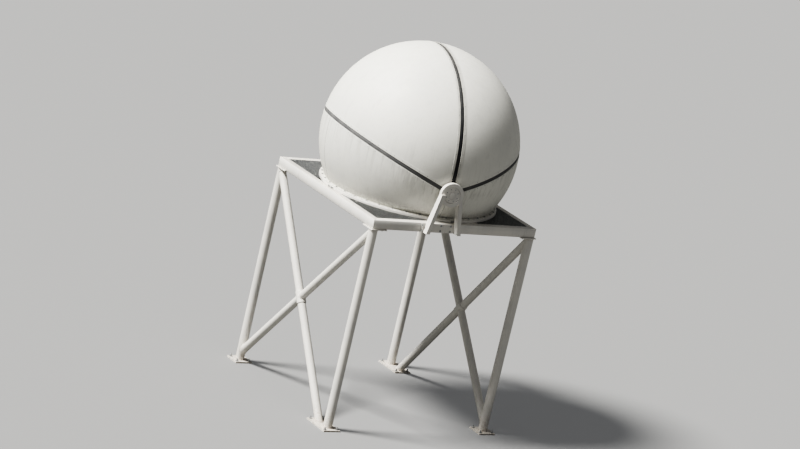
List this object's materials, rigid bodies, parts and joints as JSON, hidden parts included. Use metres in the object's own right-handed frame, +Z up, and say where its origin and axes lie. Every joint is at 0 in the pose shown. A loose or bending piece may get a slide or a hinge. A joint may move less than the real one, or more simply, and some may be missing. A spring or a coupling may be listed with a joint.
{
  "type": "radome on a tube tower",
  "caption": "Ball-shaped shell in two upper halves over a lower bowl, standing on the square platform of an open white tower of steel tube.",
  "frame": {"origin": "on the ground at the middle of the tower, below the ball's centre", "axes": "+Z up; -Y the front, where one hinge bracket stands; -X the left side"},
  "size_m": [3.42, 3.537, 6.2683],
  "materials": {
    "white_steel": "white gloss paint, a little chalked and dusty",
    "white_shell": "white gelcoat on glass fibre, weathered to a satin",
    "galvanised_steel": "dull galvanised",
    "grey_floor": "grey non-slip floor paint",
    "dark_rubber": "matt weathered rubber"
  },
  "bodies": {
    "root": {"foot_plate_left_back": "white_steel", "foot_plate_left_front": "white_steel", "foot_plate_right_front": "white_steel", "foot_plate_right_back": "white_steel", "leg_left_back": "white_steel", "leg_left_front": "white_steel", "leg_right_front": "white_steel", "leg_right_back": "white_steel", "brace_left": "white_steel", "cross_brace_left": "white_steel", "brace_right": "white_steel", "cross_brace_right": "white_steel", "frame_beam_left": "white_steel", "frame_beam_front": "white_steel", "frame_beam_right": "white_steel", "frame_beam_back": "white_steel", "joist_left": "white_steel", "joist_middle": "white_steel", "joist_right": "white_steel", "corner_tie_left_back": "white_steel", "corner_tie_left_front": "white_steel", "corner_tie_right_front": "white_steel", "corner_tie_right_back": "white_steel", "deck_corner_left_back": "galvanised_steel", "deck_corner_left_front": "galvanised_steel", "deck_corner_right_front": "galvanised_steel", "deck_corner_right_back": "galvanised_steel", "floor_plate": "grey_floor", "base_ring_left_back": "white_steel", "base_ring_left_front": "white_steel", "base_ring_right_front": "white_steel", "base_ring_right_back": "white_steel", "bowl_left_back": "white_shell", "bowl_left_front": "white_shell", "bowl_right_front": "white_shell", "bowl_right_back": "white_shell", "shell_left": "white_shell", "shell_right": "white_shell", "crown_seal": "dark_rubber", "rim_seal_left": "dark_rubber", "rim_seal_right": "dark_rubber", "pivot_hub_front": "white_steel", "pivot_hub_back": "white_steel", "pivot_bracket_front": "white_steel", "pivot_bracket_back": "white_steel"}
  },
  "joints": []
}
